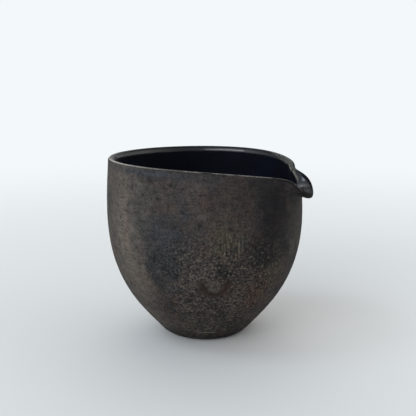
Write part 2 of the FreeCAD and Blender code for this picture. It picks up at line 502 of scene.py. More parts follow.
@dataclass(frozen=True)
class Wheel:
    """Turns a piece's section round the axis and works it into the pourer's form."""

    form: BowlForm
    handwork: HandWork
    stations: int = 480
    crowding: float = 0.55
    join_within: float = 0.001

    def turned(self, section: list[SectionPoint]) -> bmesh.types.BMesh:
        """The closed round shape that a section sweeps.

        Args:
            section: The section's points in order. It closes on itself, or starts and ends on
                the axis.

        Returns:
            The shape, level and round.
        """
        shape = bmesh.new()
        shows = shape.verts.layers.float.new("shows")
        corners = []
        for point in section:
            corner = shape.verts.new((point.radius, 0.0, point.height))
            corner[shows] = float(point.shows)
            corners.append(corner)
        on_axis = section[0].radius < TINY
        ends = corners[1:] if on_axis else corners[1:] + corners[:1]
        edges = [shape.edges.new(pair) for pair in zip(corners, ends)]

        # A quarter turn, copied round twice, is made much faster than a full turn
        bmesh.ops.spin(
            shape,
            geom=corners + edges,
            cent=(0.0, 0.0, 0.0),
            axis=(0.0, 0.0, 1.0),
            angle=math.pi / 2.0,
            steps=self.stations // 4,
        )
        for turn in (90.0, 180.0):
            copied = bmesh.ops.duplicate(shape, geom=shape.verts[:] + shape.edges[:] + shape.faces[:])
            bmesh.ops.rotate(
                shape,
                cent=(0.0, 0.0, 0.0),
                matrix=Matrix.Rotation(math.radians(turn), 3, "Z"),
                verts=[part for part in copied["geom"] if isinstance(part, bmesh.types.BMVert)],
            )
        bmesh.ops.remove_doubles(shape, verts=shape.verts, dist=self.join_within)
        bmesh.ops.recalc_face_normals(shape, faces=shape.faces)
        return shape

    def crowded(self, angle: float) -> float:
        """An even station's angle moved, so that the stations crowd at the lip."""
        turn = angle / 360.0
        return 360.0 * turn - self.crowding * math.degrees(math.sin(2.0 * math.pi * turn))

    def work(self, shape: bmesh.types.BMesh, relief: Relief) -> None:
        """Works a turned shape into its final place.

        Args:
            shape: The turned shape, changed in place.
            relief: The relief of the faces that show.
        """
        for vert in shape.verts:
            radius = math.hypot(vert.co.x, vert.co.y)
            turn = math.radians(self.crowded(math.degrees(math.atan2(vert.co.y, vert.co.x))))
            vert.co = (radius * math.cos(turn), radius * math.sin(turn), vert.co.z)
        shape.normal_update()
        shows = shape.verts.layers.float["shows"]
        thrown = shape.verts.layers.float_vector.new(THROWN)
        normals = [vert.normal.copy() for vert in shape.verts]
        for vert, normal in zip(shape.verts, normals):
            at = vert.co.copy()
            vert[thrown] = at
            if vert[shows] > 0.5:
                at -= normal * relief.depth(at, self.form)
            radius = math.hypot(at.x, at.y) - self.handwork.inward(vert.co)
            height = at.z - self.handwork.down(vert.co, self.form.rim_height)
            angle = math.degrees(math.atan2(at.y, at.x))
            vert.co = self.form.worked(max(radius, 0.0), angle, height) * MM
        shape.verts.layers.float.remove(shows)


def piece_of(shape: bmesh.types.BMesh, name: str) -> bpy.types.Object:
    """A scene object made of a finished shape.

    Args:
        shape: The shape in metres, which is used up.
        name: The piece's name.

    Returns:
        The object, shaded smooth.
    """
    mesh = bpy.data.meshes.new(name)
    shape.to_mesh(mesh)
    shape.free()
    mesh.shade_smooth()
    piece = bpy.data.objects.new(name, mesh)
    bpy.context.scene.collection.objects.link(piece)
    return piece


Number = Union[float, "Value"]


class Value:
    """A shader socket that takes part in sums as a number does."""

    def __init__(self, board: "Board", socket: bpy.types.NodeSocket) -> None:
        """Wraps a socket.

        Args:
            board: The node tree that the socket is in.
            socket: The output socket.
        """
        self.board = board
        self.socket = socket

    def __add__(self, other: Number) -> "Value":
        """The sum."""
        return self.board.maths("ADD", self, other)

    def __radd__(self, other: Number) -> "Value":
        """The sum, with the number first."""
        return self.board.maths("ADD", other, self)

    def __sub__(self, other: Number) -> "Value":
        """The difference."""
        return self.board.maths("SUBTRACT", self, other)

    def __rsub__(self, other: Number) -> "Value":
        """The difference, with the number first."""
        return self.board.maths("SUBTRACT", other, self)

    def __mul__(self, other: Number) -> "Value":
        """The product."""
        return self.board.maths("MULTIPLY", self, other)

    def __rmul__(self, other: Number) -> "Value":
        """The product, with the number first."""
        return self.board.maths("MULTIPLY", other, self)

    def __truediv__(self, other: Number) -> "Value":
        """The quotient."""
        return self.board.maths("DIVIDE", self, other)

    def __pow__(self, other: Number) -> "Value":
        """The power."""
        return self.board.maths("POWER", self, other)

    def step(self, low: float, high: float) -> "Value":
        """A smooth rise from 0 at low to 1 at high, or a fall where low is the larger."""
        falls = low > high
        ends = {"From Min": min(low, high), "From Max": max(low, high)}
        if falls:
            ends.update({"To Min": 1.0, "To Max": 0.0})
        node = self.board.node(
            "ShaderNodeMapRange", {"interpolation_type": "SMOOTHSTEP"}, {"Value": self, **ends}
        )
        return Value(self.board, node.outputs["Result"])

    def greater(self, other: Number) -> "Value":
        """The larger of the two."""
        return self.board.maths("MAXIMUM", self, other)

    def bell(self, width: float) -> "Value":
        """A smooth hump that is 1 at zero and falls to 0.37 at the width."""
        scaled = self / width
        return self.board.maths("EXPONENT", scaled * scaled * -1.0, 0.0)


class Board:
    """A node tree, with one way to add any node."""

    def __init__(self, tree: bpy.types.NodeTree) -> None:
        """Clears the tree.

        Args:
            tree: The node tree of a material or of the world.
        """
        self.tree = tree
        tree.nodes.clear()

    def node(
        self, kind: str, settings: dict | None = None, sockets: dict | None = None
    ) -> bpy.types.Node:
        """Adds a node, sets it, and then fills its sockets.

        Args:
            kind: The node's type.
            settings: Its properties by name.
            sockets: Values or links by the socket's name or number.

        Returns:
            The node.
        """
        node = self.tree.nodes.new(kind)
        for name, setting in (settings or {}).items():
            setattr(node, name, setting)
        for name, value in (sockets or {}).items():
            if isinstance(value, Value):
                self.tree.links.new(value.socket, node.inputs[name])
            elif isinstance(value, bpy.types.NodeSocket):
                self.tree.links.new(value, node.inputs[name])
            else:
                node.inputs[name].default_value = value
        return node

    def maths(self, operation: str, first: Number, second: Number) -> Value:
        """A Math node on two numbers."""
        node = self.node("ShaderNodeMath", {"operation": operation}, {0: first, 1: second})
        return Value(self, node.outputs[0])

    def colour(self, written: Colour) -> tuple[float, float, float, float]:
        """A colour as a socket takes it."""
        return (*written, 1.0)

    def scaled(self, tone: Colour | bpy.types.NodeSocket, share: Value) -> bpy.types.NodeSocket:
        """A colour made lighter or darker by a factor."""
        node = self.node("ShaderNodeVectorMath", {"operation": "SCALE"}, {0: tone, "Scale": share})
        return node.outputs[0]

    def added(self, first: bpy.types.NodeSocket, second: bpy.types.NodeSocket) -> bpy.types.NodeSocket:
        """The sum of two lights."""
        node = self.node("ShaderNodeVectorMath", {"operation": "ADD"}, {0: first, 1: second})
        return node.outputs[0]

    def laid(
        self,
        share: Number,
        under: Colour | bpy.types.NodeSocket,
        over: Colour | bpy.types.NodeSocket,
    ) -> bpy.types.NodeSocket:
        """One colour laid on another.

        Args:
            share: How much of the upper colour shows.
            under: The lower colour.
            over: The upper colour.

        Returns:
            The mixed colour.
        """
        colours = [self.colour(c) if isinstance(c, tuple) else c for c in (under, over)]
        node = self.node(
            "ShaderNodeMix",
            {"data_type": "RGBA", "blend_type": "MIX", "clamp_factor": True},
            {0: share, 6: colours[0], 7: colours[1]},
        )
        return node.outputs[2]

    def surface(self, height: Value, sockets: dict) -> None:
        """Ends a material's tree with fine relief, the shader and the output.

        Args:
            height: The height of the fine relief in millimetres.
            sockets: What the shader's sockets take, by name.
        """
        bump = self.node("ShaderNodeBump", sockets={"Strength": 1.0, "Distance": MM, "Height": height})
        normal = bump.outputs["Normal"]
        shader = self.node("ShaderNodeBsdfPrincipled", sockets={**sockets, "Normal": normal})
        self.node("ShaderNodeOutputMaterial", sockets={"Surface": shader.outputs["BSDF"]})


def new_material(name: str) -> tuple[bpy.types.Material, Board]:
    """A new material, and the board of its empty node tree."""
    material = bpy.data.materials.new(name)
    material.use_nodes = True
    return material, Board(material.node_tree)


class Ground:
    """The pattern space of a piece: its points as they were on the level, round bowl."""

    def __init__(self, board: Board) -> None:
        """Reads the piece's own attribute.

        Args:
            board: The material's node tree.
        """
        self.board = board
        attribute = board.node("ShaderNodeAttribute", {"attribute_name": THROWN})
        self.place = attribute.outputs["Vector"]
        parts = board.node("ShaderNodeSeparateXYZ", sockets={"Vector": self.place})
        across = Value(board, parts.outputs["X"])
        along = Value(board, parts.outputs["Y"])
        self.height = Value(board, parts.outputs["Z"])
        self.radius = (across * across + along * along) ** 0.5
        self.angle = board.maths("ARCTAN2", along, across) * math.degrees(1.0)

    def stretched(self, size: Colour, shift: float = 0.0) -> bpy.types.NodeSocket:
        """The place divided by a size along each axis, and shifted to another part of the noise."""
        scale = tuple(1.0 / part for part in size)
        node = self.board.node(
            "ShaderNodeMapping",
            {"vector_type": "POINT"},
            {"Vector": self.place, "Scale": scale, "Location": (shift, shift, shift)},
        )
        return node.outputs["Vector"]

    def clouds(
        self, size: float | Colour, detail: float = 3.0, shift: float = 0.0, warp: float = 0.0
    ) -> Value:
        """Soft noise from 0 to 1.

        Args:
            size: The size of its patches, the same or along each axis.
            detail: How many finer layers it has.
            shift: Moves it, so that two clouds differ.
            warp: How much it is stirred.

        Returns:
            The noise.
        """
        sizes = size if isinstance(size, tuple) else (size, size, size)
        node = self.board.node(
            "ShaderNodeTexNoise",
            sockets={
                "Vector": self.stretched(sizes, shift),
                "Scale": 1.0,
                "Detail": detail,
                "Distortion": warp,
            },
        )
        return Value(self.board, node.outputs[0])

    def specks(self, size: float, reach: float, shift: float = 0.0) -> Value:
        """Round specks, 1 in the middle of each and 0 between them.

        Args:
            size: The distance between specks.
            reach: A speck's radius as a share of that distance.
            shift: Moves them.

        Returns:
            The specks.
        """
        node = self.board.node(
            "ShaderNodeTexVoronoi",
            {"feature": "F1"},
            {"Vector": self.stretched((size, size, size), shift), "Scale": 1.0},
        )
        return Value(self.board, node.outputs["Distance"]).step(reach, 0.0)

    def spot(
        self, angle: float, height: float, half_width: float, half_height: float, stir: Number
    ) -> Value:
        """A soft oval patch at a place on the wall.

        Args:
            angle: Where its middle is.
            height: How high its middle is.
            half_width: Its half width in degrees.
            half_height: Its half height.
            stir: Noise about zero that makes its edge uneven, in half widths.

        Returns:
            1 in the middle, falling to 0.
        """
        across = (self.angle - angle) / half_width + stir
        up = (self.height - height) / half_height + stir
        return self.board.maths("EXPONENT", (across * across + up * up) * -1.0, 0.0)

    def worn_beside_lip(self, form: BowlForm) -> Value:
        """Where the rim is worn to pale clay, from the left of the lip round to the back.

        Args:
            form: The bowl's form.

        Returns:
            1 on the worn band, 0 off it.
        """
        widest = 2.4
        reach = self.angle.step(11.0, 25.0) * self.angle.step(62.0, 40.0) * widest
        ragged = (self.clouds(1.7, 3.0, 41.0) - 0.5) * 2.8
        from_rim = form.rim_height - self.height
        return (reach - from_rim + ragged * reach / widest).step(-0.1, 0.5)


@dataclass(frozen=True)
class Patch:
    """A place on the outside where the smoke left another colour."""

    angle: float
    height: float
    half_width: float
    half_height: float
    colour: Colour
    strength: float
    crisp: bool = False


@dataclass(frozen=True)
class Scratch:
    """A straight scratch on the outside, from one place to another."""

    from_angle: float
    from_height: float
    to_angle: float
    to_height: float
    half_width: float
    light: bool


@dataclass(frozen=True)
class Smoke:
    """A wide soft layer of smoke: a cloud that lays its colour where the cloud is thick."""

    size: float
    detail: float
    shift: float
    warp: float
    starts_at: float
    full_at: float
    strength: float
    colour: Colour


class SlipPattern:
    """The noises and zones that the slip's colour and its fine relief share."""

    def __init__(self, ground: Ground) -> None:
        """Draws them.

        Args:
            ground: The pattern space.
        """
        self.ground = ground
        self.stir = (ground.clouds(6.0, 4.0, 3.0) - 0.5) * 1.6
        self.grain = ground.clouds(0.62, 2.0, 17.0)
        self.coarse = ground.clouds(1.1, 2.0, 57.0)
        self.mottle = ground.clouds(2.6, 3.0, 5.0)
        self.rings = ground.clouds((9.0, 9.0, 0.5), 2.0, 23.0)
        self.strokes = ground.clouds((0.75, 0.75, 7.0), 2.0, 29.0)

        # Low on the front the grain is coarse; high on its right the slip was wiped in strokes
        low = ground.height.step(66.0, 44.0) * (0.25 + 0.75 * ground.angle.step(-104.0, -80.0))
        self.low = low * ground.angle.step(-114.0, -100.0) * ground.angle.step(-14.0, -40.0)
        wiped = ground.spot(-58.5, 53.5, 6.5, 6.5, self.stir * 0.4)
        self.wiped = wiped * self.mottle.step(0.35, 0.55)


@dataclass(frozen=True)
class SlipFinish:
    """Matte slip, smoked in patches from warm grey-brown to near black."""

    dark: Colour = linear(46, 43, 42)
    middle: Colour = linear(62, 57, 54)
    light: Colour = linear(78, 72, 66)
    rosy: Colour = linear(80, 64, 58)
    blue_grey: Colour = linear(52, 54, 58)
    ochre: Colour = linear(110, 104, 86)
    soot: Colour = linear(20, 19, 21)
    black: Colour = linear(9, 9, 10)
    red_brown: Colour = linear(38, 26, 22)
    roughness: float = 0.8
    roughness_spread: float = 0.1
    specular: float = 0.15
    smoke: tuple[Smoke, ...] = (
        Smoke(24.0, 4.0, 11.0, 0.6, 0.36, 0.52, 1.0, middle),
        Smoke(15.0, 4.0, 31.0, 0.5, 0.5, 0.66, 0.8, light),
        Smoke(9.0, 3.0, 47.0, 0.0, 0.52, 0.66, 0.5, rosy),
        Smoke(8.0, 3.0, 71.0, 0.0, 0.52, 0.66, 0.5, blue_grey),
    )
    patches: tuple[Patch, ...] = (
        Patch(-123.0, 55.0, 17.0, 46.0, linear(102, 95, 87), 0.8),
        Patch(-121.5, 60.0, 3.6, 17.0, linear(114, 97, 87), 0.5),
        Patch(-113.0, 34.0, 8.0, 12.0, linear(98, 88, 80), 0.6),
        Patch(-112.0, 68.0, 8.0, 9.0, linear(66, 66, 63), 0.7),
        Patch(-96.0, 56.0, 14.0, 11.0, linear(52, 53, 57), 0.8),
        Patch(-97.5, 43.0, 9.5, 9.0, linear(44, 45, 47), 0.75, crisp=True),
        Patch(-82.0, 78.0, 18.0, 8.0, linear(70, 63, 61), 0.5),
        Patch(-105.0, 84.6, 26.0, 1.5, linear(58, 61, 67), 0.8),
        Patch(-62.0, 76.0, 12.0, 10.0, linear(62, 55, 50), 0.5),
        Patch(-62.0, 57.0, 7.0, 7.0, linear(78, 73, 58), 0.6),
        Patch(-32.0, 73.0, 17.0, 20.0, linear(21, 19, 23), 0.95),
        Patch(-38.0, 49.0, 13.0, 11.0, linear(30, 29, 30), 0.9),
        Patch(-27.0, 84.0, 20.0, 1.6, linear(34, 35, 40), 0.8),
        Patch(-7.0, 66.0, 8.0, 16.0, linear(60, 59, 56), 0.7),
        Patch(-26.0, 39.0, 6.0, 6.0, linear(74, 70, 58), 0.6),
        Patch(-38.0, 29.0, 10.0, 9.0, linear(76, 58, 47), 0.7),
        Patch(0.0, 81.0, 12.0, 5.0, linear(30, 30, 32), 0.8),
    )
    dots: tuple[tuple[float, float], ...] = (
        (-98.5, 74.3),
        (-88.5, 62.6),
        (-75.0, 63.5),
        (-107.5, 75.0),
        (-90.3, 80.4),
        (-84.3, 69.1),
    )
    scratches: tuple[Scratch, ...] = (
        Scratch(-101.5, 45.0, -100.6, 50.5, 0.3, False),
        Scratch(-99.5, 45.6, -92.5, 45.0, 0.26, False),
        Scratch(-94.0, 40.0, -92.0, 44.0, 0.26, False),
        Scratch(-90.0, 48.0, -86.0, 48.6, 0.24, False),
        Scratch(-83.0, 7.0, -62.0, 6.6, 0.34, True),
        Scratch(-74.0, 9.2, -66.0, 9.5, 0.3, True),
        Scratch(-57.0, 8.0, -52.0, 8.3, 0.3, True),
        Scratch(-69.0, 14.0, -65.0, 14.6, 0.3, True),
        Scratch(-53.0, 43.8, -49.5, 43.4, 0.3, True),
    )
    crisp_from: float = 0.25
    crisp_full_at: float = 0.5
    dot_half_width: float = 1.1
    dot_half_height: float = 0.75
    wall_radius: float = 40.0
    scratch_over: float = 0.3
    scratch_inside: float = 0.5

    def scratch(self, ground: Ground, mark: Scratch) -> Value:
        """How much of a scratch lies at a point.

        Args:
            ground: The pattern space.
            mark: The scratch.

        Returns:
            1 on its line, 0 beside it.
        """
        per_degree = math.radians(1.0) * self.wall_radius
        run = (mark.to_angle - mark.from_angle) * per_degree
        rise = mark.to_height - mark.from_height
        length = math.hypot(run, rise)
        across = (ground.angle - mark.from_angle) * per_degree
        up = ground.height - mark.from_height
        along = (across * run + up * rise) / length
        beside = (up * run - across * rise) / length
        starts = along.step(-self.scratch_over, self.scratch_inside)
        ends = along.step(length + self.scratch_over, length - self.scratch_inside)
        return beside.bell(mark.half_width) * starts * ends

    def smoked(self, board: Board, pattern: SlipPattern) -> bpy.types.NodeSocket:
        """Smoke in wide soft areas, then in the places where the fire left it.

        Args:
            board: The material's node tree.
            pattern: The shared noises.

        Returns:
            The colour.
        """
        ground = pattern.ground
        tone = self.dark
        for layer in self.smoke:
            cloud = ground.clouds(layer.size, layer.detail, layer.shift, layer.warp)
            share = cloud.step(layer.starts_at, layer.full_at) * layer.strength
            tone = board.laid(share, tone, layer.colour)
        for patch in self.patches:
            place = (patch.angle, patch.height, patch.half_width, patch.half_height)
            mask = ground.spot(*place, pattern.stir)
            mask = mask.step(self.crisp_from, self.crisp_full_at) if patch.crisp else mask
            tone = board.laid(mask * patch.strength, tone, patch.colour)
        return tone

    def grained(
        self, board: Board, pattern: SlipPattern, tone: bpy.types.NodeSocket
    ) -> bpy.types.NodeSocket:
        """Grains over the smoke, coarser low on the front, and a flecked foot darkened with painted
        shade.

        Args:
            board: The material's node tree.
            pattern: The shared noises.
            tone: The colour so far.

        Returns:
            The colour.
        """
        ground, coarse, low = pattern.ground, pattern.coarse, pattern.low
        shade = (
            0.84
            + (pattern.grain - 0.5) * (1.4 + 1.6 * low)
            + (coarse - 0.5) * (0.9 + 1.8 * low)
            + (pattern.mottle - 0.5) * 1.1
            + (pattern.rings - 0.5) * 0.7
        )
        darkest = 0.3
        tone = board.scaled(tone, shade.greater(darkest))
        tone = board.laid(coarse.step(0.57, 0.7) * low * 0.4, tone, self.ochre)
        tone = board.laid(coarse.step(0.43, 0.32) * low * 0.6, tone, self.soot)
        # Painted shade: the slip darkens towards the foot, where the wall turns under away from the
        # light
        foot_shade = ground.height.step(8.0, 3.0)
        tone = board.laid(foot_shade * 0.6, tone, self.soot)
        flecks = ground.clouds((2.4, 2.4, 0.6), 2.0, 83.0).step(0.58, 0.68)
        return board.laid(flecks * ground.height.step(22.0, 12.0) * 0.45, tone, self.ochre)

    def marked(
        self, board: Board, pattern: SlipPattern, tone: bpy.types.NodeSocket
    ) -> bpy.types.NodeSocket:
        """The round mark low on the front, a painted shadow in the crease under the lip, wiping
        strokes and dots.

        Args:
            board: The material's node tree.
            pattern: The shared noises.
            tone: The colour so far.

        Returns:
            The colour.
        """
        ground, strokes, stir = pattern.ground, pattern.strokes, pattern.stir

        # A round mark: pale streaks in a red-brown crescent, and a dark blotch over it
        off = ground.spot(-67.2, 35.6, 7.4, 4.9, stir * 0.1)
        crescent = (off - 0.4).bell(0.26) * ground.height.step(40.0, 35.5)
        tone = board.laid(off.step(0.45, 0.9) * strokes.step(0.38, 0.58) * 0.75, tone, self.light)
        tone = board.laid(crescent * 0.85, tone, self.red_brown)
        blotch = ground.spot(-61.0, 41.8, 6.5, 4.2, stir) * pattern.coarse.step(0.62, 0.48)
        tone = board.laid(blotch * 0.95, tone, self.soot)

        # Painted shadow: a black line in the crease where the wall folds out into the lip
        beside_lip = ground.angle.step(-34.0, -27.0) * ground.angle.step(-8.0, -13.0)
        tone = board.laid(ground.height.step(85.4, 86.1) * beside_lip * 0.9, tone, self.black)

        wiped = pattern.wiped
        tone = board.laid(strokes.step(0.52, 0.64) * wiped * 0.9, tone, self.ochre)
        tone = board.laid(strokes.step(0.48, 0.36) * wiped * 0.7, tone, self.soot)
        for angle, height in self.dots:
            size = (self.dot_half_width, self.dot_half_height)
            tone = board.laid(ground.spot(angle, height, *size, stir * 0.2) * 0.8, tone, self.soot)
        return tone

    def material(self) -> bpy.types.Material:
        """The finish as a material."""
        material, board = new_material("smoked_slip")
        pattern = SlipPattern(Ground(board))
        tone = self.smoked(board, pattern)
        tone = self.grained(board, pattern, tone)
        tone = self.marked(board, pattern, tone)
        lines = [self.scratch(pattern.ground, mark) for mark in self.scratches]
        lines = [line * pattern.grain.step(0.35, 0.5) for line in lines]
        for mark, line in zip(self.scratches, lines):
            tone = board.laid(line * 0.9, tone, self.ochre if mark.light else self.soot)
        cuts = lines[0]
        for line in lines[1:]:
            cuts = cuts.greater(line)
        relief = (
            0.05 * pattern.grain
            + 0.05 * pattern.coarse * pattern.low
            + 0.03 * pattern.mottle
            + 0.025 * pattern.rings
            + 0.05 * pattern.strokes * pattern.wiped
            - 0.08 * cuts
            - 0.08 * pattern.ground.specks(3.2, 0.16, 2.0)
        )
        uneven = (pattern.grain - 0.5) * self.roughness_spread
        uneven = uneven + (pattern.mottle - 0.5) * self.roughness_spread
        board.surface(
            relief,
            {
                "Base Color": tone,
                "Roughness": self.roughness + uneven,
                "Specular IOR Level": self.specular,
            },
        )
        return material


class GlazePattern:
    """Where the glaze is thin, worn to clay, or ends on the lip."""

    def __init__(self, ground: Ground, form: BowlForm) -> None:
        """Draws the zones.

        Args:
            ground: The pattern space.
            form: The bowl's form.
        """
        stir = ground.clouds(3.0, 3.0, 7.0) - 0.5
        from_rim = form.rim_height - ground.height
        off_middle = ground.angle - form.lip_centre
        on_lip = ((off_middle * off_middle) ** 0.5).step(18.0, 14.0)

        # Run off the round of the rim, everywhere but on the lip
        self.thin = (from_rim + stir * 1.2).step(3.1, 2.2) * (1.0 - on_lip)
        self.worn = ground.worn_beside_lip(form)

        # A narrow worn streak that slants down inside from the left of the lip
        tail = (from_rim + ground.angle * 0.8 - 15.7).bell(0.8)
        self.tail = tail * ground.angle.step(11.0, 15.0) * ground.angle.step(26.0, 20.0)

        # Brown specks on the lip's middle and right, and the lip's last edge
        self.tip = ground.angle.step(8.0, 4.5) * on_lip * (from_rim + stir * 1.5).step(9.0, 7.5)
        self.edge = on_lip * from_rim.step(2.8, 1.9)
        self.dull = self.worn.greater(self.tip).greater(self.tail).greater(self.edge)


@dataclass(frozen=True)
class GlazeFinish:
    """Black glaze: glossy inside, thin and dark grey on the rim, brown-specked and dull on the lip."""

    form: BowlForm
    black: Colour = linear(7, 9, 19)
    blue: Colour = linear(9, 13, 26)
    thin: Colour = linear(34, 34, 33)
    grey: Colour = linear(42, 45, 45)
    pale: Colour = linear(126, 123, 115)
    worn: Colour = linear(86, 88, 84)
    brown: Colour = linear(56, 53, 51)
    soot: Colour = linear(22, 21, 22)
    gloss: float = 0.13
    thin_loss: float = 0.25
    body_roughness: float = 0.7
    roughness_spread: float = 0.1
    specular: float = 0.1

    def coloured(
        self, board: Board, ground: Ground, pattern: GlazePattern, grain: Value
    ) -> bpy.types.NodeSocket:
        """The glaze's colour.

        Args:
            board: The material's node tree.
            ground: The pattern space.
            pattern: The zones.
            grain: Fine noise.

        Returns:
            The colour.
        """
        thin, worn = pattern.thin, pattern.worn
        tone = board.laid(ground.clouds(14.0, 3.0, 3.0).step(0.4, 0.7), self.black, self.blue)
        tone = board.laid(thin * (0.6 + 0.4 * grain), tone, self.thin)
        tone = board.laid(thin * (ground.angle - 160.0).bell(34.0) * 0.8, tone, self.grey)
        tone = board.laid(pattern.tip * grain.step(0.42, 0.58) * 0.9, tone, self.brown)
        tone = board.laid(pattern.edge, tone, self.black)
        pale = board.laid(ground.angle.step(42.0, 28.0), self.worn, self.pale)
        tone = board.laid(worn.greater(pattern.tail), tone, pale)
        return board.laid(worn * grain.step(0.56, 0.4) * 0.75, tone, self.soot)

    def material(self) -> bpy.types.Material:
        """The finish as a material: a dull body under a clear gloss that the dull zones lack."""
        material, board = new_material("black_glaze")
        ground = Ground(board)
        pattern = GlazePattern(ground, self.form)
        grain = ground.clouds(0.8, 2.0, 13.0)
        dull = pattern.dull
        relief = 0.04 * ground.clouds(2.4, 2.0, 19.0) + 0.05 * grain * pattern.worn
        board.surface(
            relief,
            {
                "Base Color": self.coloured(board, ground, pattern, grain),
                "Roughness": self.body_roughness + self.roughness_spread * (grain - 0.5),
                "Specular IOR Level": self.specular,
                "Coat Weight": 1.0 - dull - pattern.thin * (1.0 - dull) * self.thin_loss,
                "Coat Roughness": self.gloss,
            },
        )
        return material


@dataclass(frozen=True)
class ClayFinish:
    """Bare fired clay: the rim's crown between its two coats, the edge of the lip, and the foot."""

    form: BowlForm
    pale: Colour = linear(172, 166, 158)
    brown: Colour = linear(25, 25, 26)
    slip: Colour = linear(46, 45, 46)
    thin: Colour = linear(24, 24, 24)
    worn: Colour = linear(88, 88, 84)
    soot: Colour = linear(22, 21, 22)
    roughness: float = 0.68
    thin_roughness: float = 0.42
    specular: float = 0.06

    def material(self) -> bpy.types.Material:
        """The finish as a material."""
        material, board = new_material("bare_clay")
        ground = Ground(board)
        grain = ground.clouds(0.8, 3.0, 2.0)
        patchy = ground.clouds(9.0, 3.0, 37.0)
        edge = self.form.rim_radius
        crown = self.form.crown_radius
        high = ground.height.step(60.0, 80.0)

        # The crown, pale at the left, partly worn and partly a painted highlight where the light falls
        # on it, from the slip's side over to the thinly glazed side
        lit_and_worn_left = (ground.angle + 138.0).bell(38.0)
        tone = board.laid(lit_and_worn_left.greater(patchy.step(0.52, 0.68) * 0.4), self.brown, self.pale)
        tone = board.laid(grain.step(0.56, 0.4) * 0.5, tone, self.soot)
        outer = ground.radius.step(edge - 0.28, edge - 0.1)
        tone = board.laid(outer * 0.96, tone, self.slip)
        inner = ground.radius.step(crown + 0.35, crown + 0.05) * high
        tone = board.laid(inner * 0.95, tone, self.thin)

        # Worn to pale clay beside the lip
        worn = ground.worn_beside_lip(self.form) * ground.radius.step(crown + 0.1, crown - 0.5)
        tone = board.laid(worn, tone, self.worn)
        tone = board.laid(worn * grain.step(0.56, 0.4) * 0.75, tone, self.soot)

        # Dark glaze ran over the lip's edge, and the foot is darkened with painted shade where the
        # wall turns under
        over_lip = ground.angle.step(-17.0, -13.0) * ground.angle.step(21.0, 15.0) * high
        foot_shade = ground.height.step(9.0, 3.0)
        tone = board.laid((over_lip * 0.97).greater(foot_shade * 0.8), tone, self.soot)
        smooth = inner * (1.0 - worn.greater(over_lip))
        board.surface(
            0.05 * grain * (1.0 - smooth) + 0.02 * patchy,
            {
                "Base Color": tone,
                "Roughness": self.roughness - (self.roughness - self.thin_roughness) * smooth,
                "Specular IOR Level": self.specular,
            },
        )
        return material


@dataclass(frozen=True)
class RowSpacing:
    """A spacing of rows that gets finer in the last few millimetres below the rim."""

    form: BowlForm
    fine: float
    coarse: float
    fine_within: float = 0.5
    coarse_beyond: float = 7.0

    def __call__(self, height: float) -> float:
        """The spacing at a height."""
        below = self.form.rim_height - height
        share = smooth_step(self.fine_within, self.coarse_beyond, below)
        return self.fine + (self.coarse - self.fine) * share


